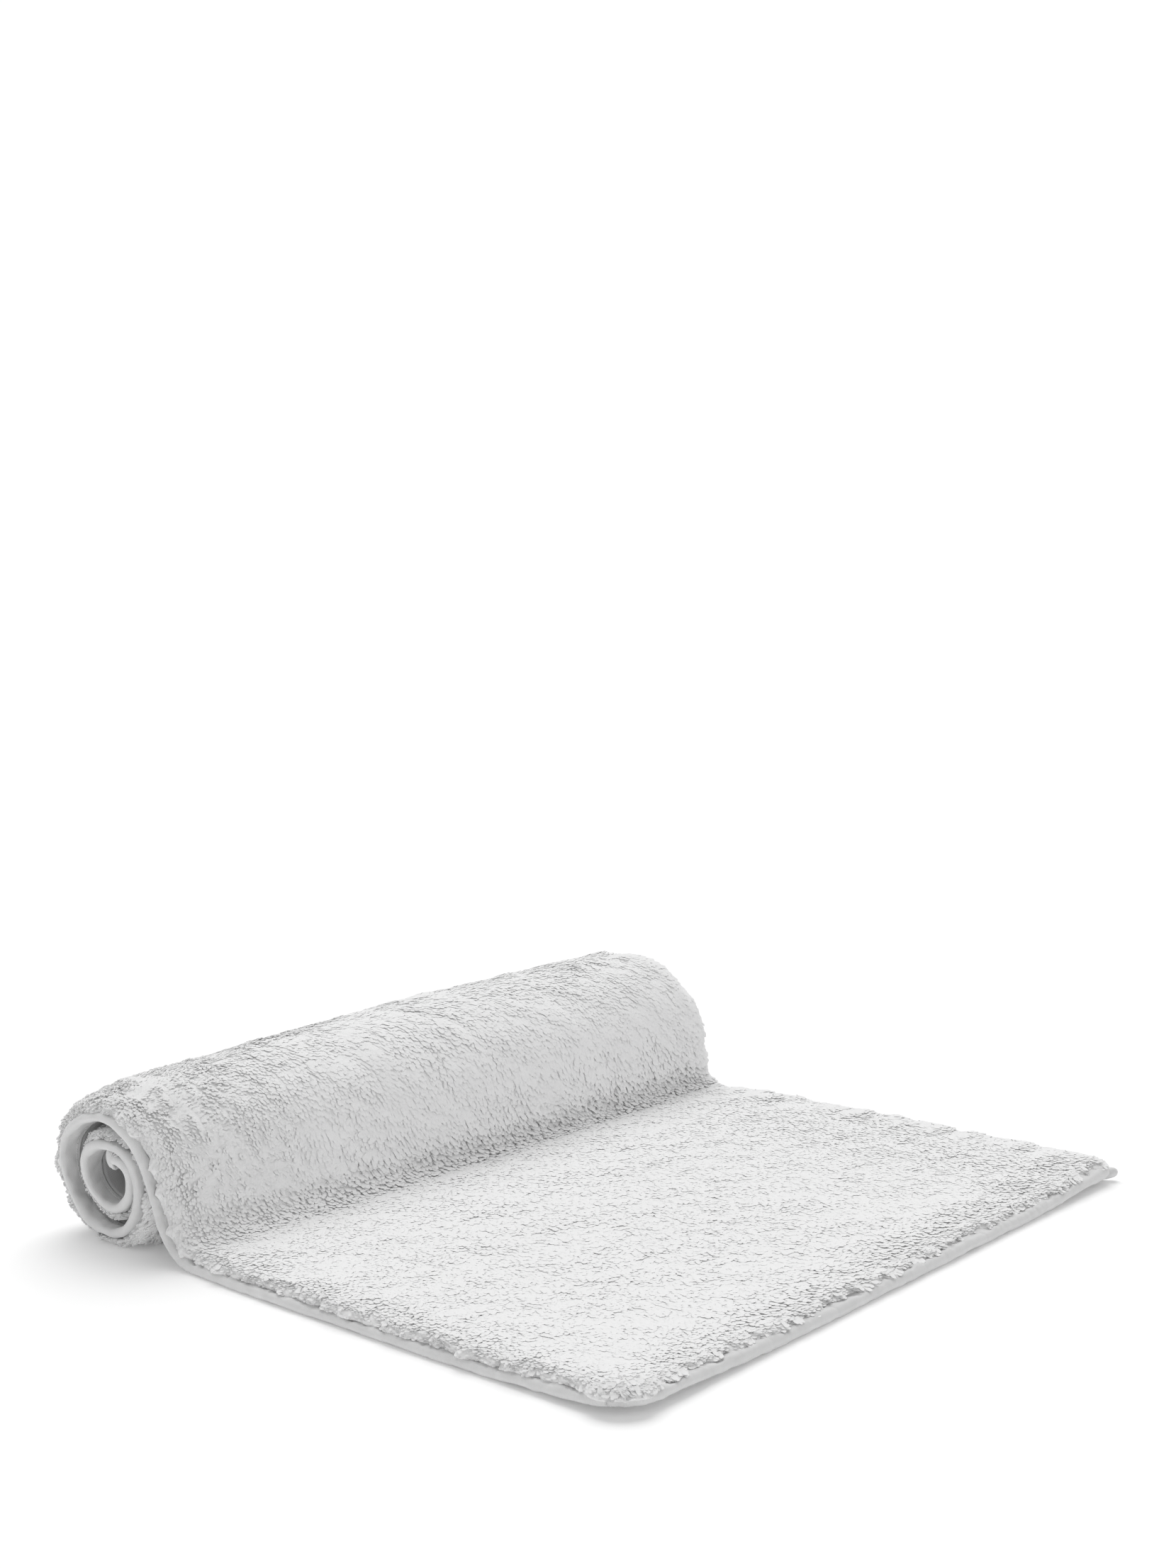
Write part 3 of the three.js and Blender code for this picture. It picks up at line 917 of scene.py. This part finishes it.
def tape_sections(width, run_along):
    """Margins and heights of the tape at each place along an edge: puckered by its seam."""
    outline = tape_outline(width)
    seam = width - SEAM_MARGIN
    way = np.gradient(outline, axis=0)
    way /= np.linalg.norm(way, axis=1, keepdims=True)
    out = np.stack([-way[:, 1], way[:, 0]], -1)
    at = run_along[:, None]
    margin = np.broadcast_to(outline[:, 0], (len(run_along), len(outline)))
    hold = np.exp(-(((outline[:, 0] - seam) / 1.6) ** 2))
    belly = smooth(0, 3, outline[:, 0]) * smooth(seam, seam - 3, outline[:, 0])
    face = np.where(outline[:, 1] > EDGE_THICKNESS / 2, 40.0, 0.0)
    swell = 0.3 * hold * -np.cos(math.tau * at / STITCH)
    loose = 0.5 + 0.7 * smooth(LIFT_END, LIFT_END + 60, at)
    swell = swell + 1.1 * belly * PLUMP(at, margin + face) + loose * SLACK(at, margin + face)
    fold = np.abs(CREASES(at + 0.8 * margin, margin + face))
    swell = swell - 0.9 * np.maximum(belly, 0.3) * smooth(0.3, 0.0, fold)
    inside = outline + swell[..., None] * out
    outside = inside + out * TAPE_THICKNESS
    return outside, inside


def shut_end(section, along):
    """Folds a tape's open ends shut and rounds them off, past the edge of the cloth."""
    left = np.minimum(along - along[0], along[-1] - along)[:, None]
    columns = section.shape[1] // 2
    inner = np.arange(section.shape[1]) >= columns
    round_off = np.sqrt(np.clip(1 - (1 - left / 3.2) ** 2, 0.004, 1)) * (left < 3.2) + (left >= 3.2)
    middle = EDGE_THICKNESS / 2
    height = middle + (section[..., 1] - middle) * round_off * np.where(inner, smooth(0.3, 3, left), 1)
    margin = section[..., 0] + (1 - round_off) * 3 * (1 - section[..., 0] / END_TAPE_WIDTH)
    return np.stack([margin, height], -1)


def make_tape(name, node, width, along, placed, mirrored):
    """A folded tape: placed(along, margin, height) puts it on its edge of the mat, mirrored from
    the near side's or not."""
    outside, inside = tape_sections(width, along)
    section = np.concatenate([outside, inside[:, ::-1]], 1)
    if node in ("binding_free_end", "binding_rolled_end"):
        section = shut_end(section, along)
    rows, columns = section.shape[:2]
    points = placed(along[:, None], section[..., 0], section[..., 1])
    faces = grid_faces(rows, columns, wrap=True)
    pairs = np.arange(outside.shape[1] - 1)
    cap = np.stack([pairs, pairs + 1, columns - 2 - pairs, columns - 1 - pairs], -1)
    faces = np.concatenate([faces, cap[:, ::-1], cap + (rows - 1) * columns])
    faces = faces[:, ::-1] if mirrored else faces
    return make_mesh(name, points.reshape(-1, 3), faces, "binding", TAPE, [node],
                     along=np.repeat(along, columns) * MM, across=section[..., 0].ravel() * MM)


def make_thread(name, node, width, along, placed, mirrored, on_face):
    """A line of stitches: the thread rises between its holes and dips into each."""
    seam = width - SEAM_MARGIN
    steps = np.arange(along[0] + 1, along[-1] - 1, STITCH / STEPS_PER_STITCH)
    phase = (steps / STITCH) % 1
    over = smooth(0.0, 0.22, phase) * smooth(1.0, 0.78, phase)
    level = 4.9 + TAPE_THICKNESS if on_face else 1.6 - TAPE_THICKNESS
    sign = 1 if on_face else -1
    slack = 0.35 * SLACK(steps, np.full(steps.shape, seam + (40.0 if on_face else 0.0)))
    swell = slack - 0.3 * np.cos(math.tau * steps / STITCH)
    centre = level + sign * (swell + 0.9 * over - 0.55)
    turn = math.tau * np.arange(THREAD_SIDES) / THREAD_SIDES
    margin = seam + THREAD_RADIUS * np.cos(turn)[None, :] + np.zeros((len(steps), 1))
    height = centre[:, None] + THREAD_RADIUS * np.sin(turn)[None, :]
    if not on_face:
        height = np.maximum(height, 0.02)
    points = placed(steps[:, None], margin, height)
    faces = grid_faces(len(steps), THREAD_SIDES, wrap=True)
    ends = np.array([[0, 1, 2, 3], [0, 3, 4, 5]])
    faces = np.concatenate([faces, ends[:, ::-1], ends + (len(steps) - 1) * THREAD_SIDES])
    faces = faces if mirrored else faces[:, ::-1]
    return make_mesh(name, points.reshape(-1, 3), faces, "thread", THREAD, [node],
                     along=np.repeat(steps, THREAD_SIDES) * MM)


def make_bound_edges():
    """The four tapes and the needle and bobbin threads of each."""
    side_runs = np.arange(END_TAPE_WIDTH - 1.0, LENGTH - END_TAPE_WIDTH + 1.0, 1.4)
    last_places = HALF_WIDTH - np.array([0.5, 0.54, 0.65, 0.9, 1.3, 1.9, 2.7])
    end_places = np.arange(-HALF_WIDTH + 3.7, HALF_WIDTH - 3.6, 1.4)
    end_places = np.concatenate([-last_places, end_places, last_places[::-1]])

    def on_side(side):
        return lambda along, margin, height: place(along, side * (HALF_WIDTH - margin), height)

    def on_end(free):
        def placed(along, margin, height):
            if free:
                plump = PLUMP_END * smooth(-HALF_WIDTH + 20, -HALF_WIDTH + 90, along)
                height = height * (1 + plump + PLUMP_FAR_END * smooth(-HALF_WIDTH, HALF_WIDTH, along))
            else:
                folded = smooth(HALF_WIDTH - 26, HALF_WIDTH - 4, np.abs(along))
                height = height + folded * FOLD_SWELL * (height - EDGE_THICKNESS)
            return place(margin if free else LENGTH - margin, along, height)
        return placed

    edges = {
        "near_side": (SIDE_TAPE_WIDTH, side_runs, on_side(-1), False),
        "far_side": (SIDE_TAPE_WIDTH, side_runs, on_side(1), True),
        "free_end": (END_TAPE_WIDTH, end_places, on_end(True), True),
        "rolled_end": (END_TAPE_WIDTH, end_places, on_end(False), False),
    }
    pieces = []
    for edge, way in edges.items():
        pieces.append(make_tape(f"tape_{edge}", f"binding_{edge}", *way))
        for part, on_face in (("needle", True), ("bobbin", False)):
            pieces.append(make_thread(f"{part}_stitches_{edge}", f"{part}_thread_{edge}", *way, on_face))
    pieces.append(make_tape_tail())
    return pieces


def make_tape_tail():
    """The folded end of the tape, which sticks out past the far free corner."""
    steps, around = np.linspace(0, 1, TAIL_STEPS), math.tau * np.arange(TAIL_SIDES) / TAIL_SIDES
    corner = 0.29 * CORNER_RADIUS
    out_by = corner + TAIL_PAST_CORNER - TAIL_LENGTH * steps[::-1]
    full = np.sqrt(np.clip(1 - ((steps - 0.35) / 0.66) ** 6, 0, 1))[:, None]
    crease = 0.12 * np.exp(-((np.cos(around) / 0.3) ** 2)) * (np.sin(around) > 0)
    wide = TAIL_HALF_WIDTH * full * np.cos(around) * (1 + 0.1 * np.sin(7 * steps))[:, None]
    tall = TAIL_HALF_HEIGHT * full * np.sin(around) * (1 - crease)
    tall = tall + TAIL_LEVEL + TAIL_RISE * steps[:, None]
    along = corner - (out_by[:, None] - corner) * TAIL_SLANT + wide * TAIL_SPREAD
    across = HALF_WIDTH - corner + (out_by[:, None] - corner) * TAIL_SLANT + wide * TAIL_SPREAD
    wrinkle = 0.25 * PLUMP(9 * steps[:, None] * 3, 40 * np.cos(around) + 0 * steps[:, None])
    points = np.stack([FREE_END - along, across, np.maximum(tall + wrinkle, 0.05)], -1)
    faces = grid_faces(len(steps), TAIL_SIDES, wrap=True)
    ring = np.arange(TAIL_SIDES)
    strip = np.stack([ring[:11], ring[1:12], 22 - ring[:11], 23 - ring[:11]], -1)
    faces = np.concatenate([faces, strip[:, ::-1], strip + (len(steps) - 1) * TAIL_SIDES])
    return make_mesh("tape_tail", points.reshape(-1, 3), faces, "binding", TAPE,
                     along=np.repeat(steps * TAIL_CLOTH_LENGTH, TAIL_SIDES) * MM,
                     across=np.tile(around * TAIL_CLOTH_RADIUS, len(steps)) * MM)


# ---- The studio ----

CAMERA_PLACE = (1.0245, -1.1902, 0.5069)
CAMERA_AZIMUTH = math.radians(40.84)
CAMERA_PITCH = math.radians(6.71)
CAMERA_ROLL = math.radians(-0.458)
CAMERA_SENSOR = 36.0
CAMERA_LENS = 48.56
FLOOR_GLOW = 0.1


def make_camera():
    data = bpy.data.cameras.new("camera")
    data.sensor_width, data.lens = CAMERA_SENSOR, CAMERA_LENS
    camera = bpy.data.objects.new("camera", data)
    tilt = Matrix.Rotation(math.pi / 2 - CAMERA_PITCH, 4, "X")
    swing = Matrix.Rotation(CAMERA_AZIMUTH, 4, "Z")
    roll = Matrix.Rotation(CAMERA_ROLL, 4, "Z")
    camera.matrix_world = Matrix.Translation(CAMERA_PLACE) @ swing @ tilt @ roll
    bpy.context.scene.collection.objects.link(camera)
    bpy.context.scene.camera = camera


def make_floor():
    finish = Finish("studio_floor", Specular_IOR_Level=0.0, Emission_Strength=FLOOR_GLOW)
    speckle = finish.noise(90.0)
    finish.colour(finish.between(speckle, white(0.95), white(0.97)))
    finish.feed(finish.shader.inputs["Emission Color"], white(1.0))
    finish.roughness(0.95 + speckle * 0.05)
    mesh = bpy.data.meshes.new("floor")
    reach = 60.0
    corners = [(-reach, -reach, 0), (reach, -reach, 0), (reach, reach, 0), (-reach, reach, 0)]
    mesh.from_pydata(corners, [], [(0, 1, 2, 3)])
    mesh.materials.append(finish.material)
    floor = bpy.data.objects.new("floor", mesh)
    bpy.context.scene.collection.objects.link(floor)
    return floor


SKY_HORIZON = 1.02
SKY_TOP = 0.47
SKY_DIMS_FROM, SKY_DIMS_TO = 0.24, 0.34
WINDOW_STRENGTH = 1.8
WINDOW_AZIMUTH = math.radians(135)
WINDOW_ELEVATION = math.radians(56)
WINDOW_SPREAD = math.radians(50)


def make_light():
    """A white surround, dimmer overhead, and a broad window behind the roll."""
    world = bpy.data.worlds.new("studio")
    world.use_nodes = True
    sky = Nodes(world.node_tree)
    direction = sky.node("TexCoord", output="Generated")
    height = sky.node("SeparateXYZ", None, {"Vector": direction}, output="Z")
    level = sky.node("MapRange", {"interpolation_type": "SMOOTHSTEP"},
                     {"Value": height, "From Min": SKY_DIMS_FROM, "From Max": SKY_DIMS_TO,
                      "To Min": SKY_HORIZON, "To Max": SKY_TOP})
    background = world.node_tree.nodes["Background"]
    background.inputs["Color"].default_value = (1.0, 1.0, 1.0, 1.0)
    sky.feed(background.inputs["Strength"], level)
    bpy.context.scene.world = world
    data = bpy.data.lights.new("window", "SUN")
    data.energy, data.angle = WINDOW_STRENGTH, WINDOW_SPREAD
    window = bpy.data.objects.new("window", data)
    tilt = Matrix.Rotation(math.pi / 2 - WINDOW_ELEVATION, 4, "X")
    swing = Matrix.Rotation(WINDOW_AZIMUTH + math.pi / 2, 4, "Z")
    window.matrix_world = Matrix.Translation((-1.0, 1.0, 2.0)) @ swing @ tilt
    bpy.context.scene.collection.objects.link(window)


bpy.context.scene.view_settings.view_transform = "Standard"
make_camera()
make_light()
floor = make_floor()
make_pile_bed()
make_yarns()
canvas = make_canvas()
back_cloth = make_back_cloth()
edging = make_bound_edges()
